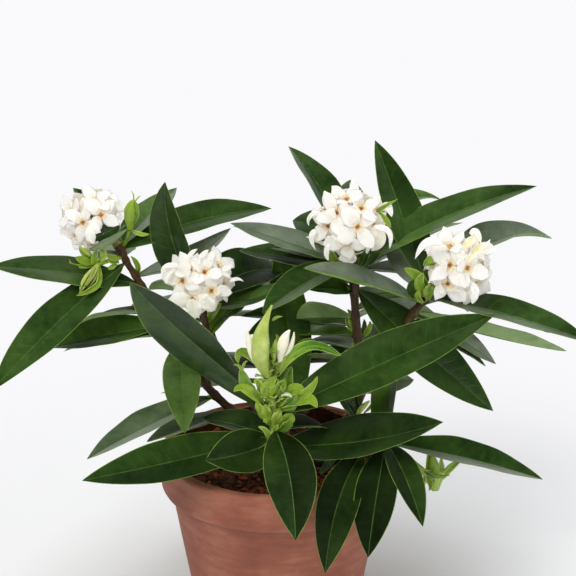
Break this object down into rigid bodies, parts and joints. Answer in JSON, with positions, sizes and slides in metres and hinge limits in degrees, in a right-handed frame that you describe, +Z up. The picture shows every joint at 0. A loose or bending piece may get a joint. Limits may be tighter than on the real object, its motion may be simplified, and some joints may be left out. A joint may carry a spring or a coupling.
{
  "type": "potted daphne shrub",
  "caption": "Small flowering evergreen shrub with forking stems, whorls of pointed glossy leaves, rounded heads of pale blossom and a round rimmed clay pot.",
  "frame": {"origin": "centre of the pot's flat underside, on the surface it stands on", "axes": "+Z up along the pot's axis, +X to the right of the plant's best side, +Y to its back"},
  "size_m": [0.3237, 0.2755, 0.2685],
  "materials": {
    "terracotta": "unglazed reddish brown clay, matt, slightly stained",
    "soil": "dark brown potting mix with bark chips, rough",
    "bark_old": "grey brown bark with shallow ridges",
    "bark_young": "smooth reddish brown bark with leaf scars",
    "foliage": "leathery dark green leaves, glossy above, paler and matt below, thin yellow green margin",
    "young_shoot": "soft lime green opening leaves and bracts",
    "blossom": "waxy white four-lobed flowers with warm throats"
  },
  "bodies": {
    "root": {"blossom_back_far_right": "blossom", "blossom_back_left": "blossom", "blossom_back_right": "blossom", "blossom_centre": "blossom", "blossom_left": "blossom", "blossom_left_centre": "blossom", "blossom_right": "blossom", "bough_back_far_right": "bark_young", "bough_back_left": "bark_young", "bough_back_right_1": "bark_young", "bough_back_right_2": "bark_young", "bough_back_right_3": "bark_young", "bough_centre_1": "bark_young", "bough_centre_2": "bark_young", "bough_left_1": "bark_young", "bough_left_2": "bark_young", "bough_left_3": "bark_young", "bough_left_centre": "bark_young", "bough_right": "bark_young", "bud_front": "young_shoot", "bud_front_right": "young_shoot", "foliage_back": "foliage", "foliage_back_far_right": "foliage", "foliage_back_left": "foliage", "foliage_back_right_low": "foliage", "foliage_back_right_mid": "foliage", "foliage_back_right_top": "foliage", "foliage_centre_low": "foliage", "foliage_centre_top": "foliage", "foliage_front_low": "foliage", "foliage_front_right": "foliage", "foliage_front_top": "foliage", "foliage_left_centre": "foliage", "foliage_left_low": "foliage", "foliage_left_mid": "foliage", "foliage_left_top": "foliage", "foliage_right": "foliage", "pot": "terracotta", "soil": "soil", "stem_back": "bark_young", "stem_front_1": "bark_young", "stem_front_2": "bark_young", "stem_front_right_1": "bark_young", "stem_front_right_2": "bark_young", "trunk": "bark_old"}
  },
  "joints": []
}
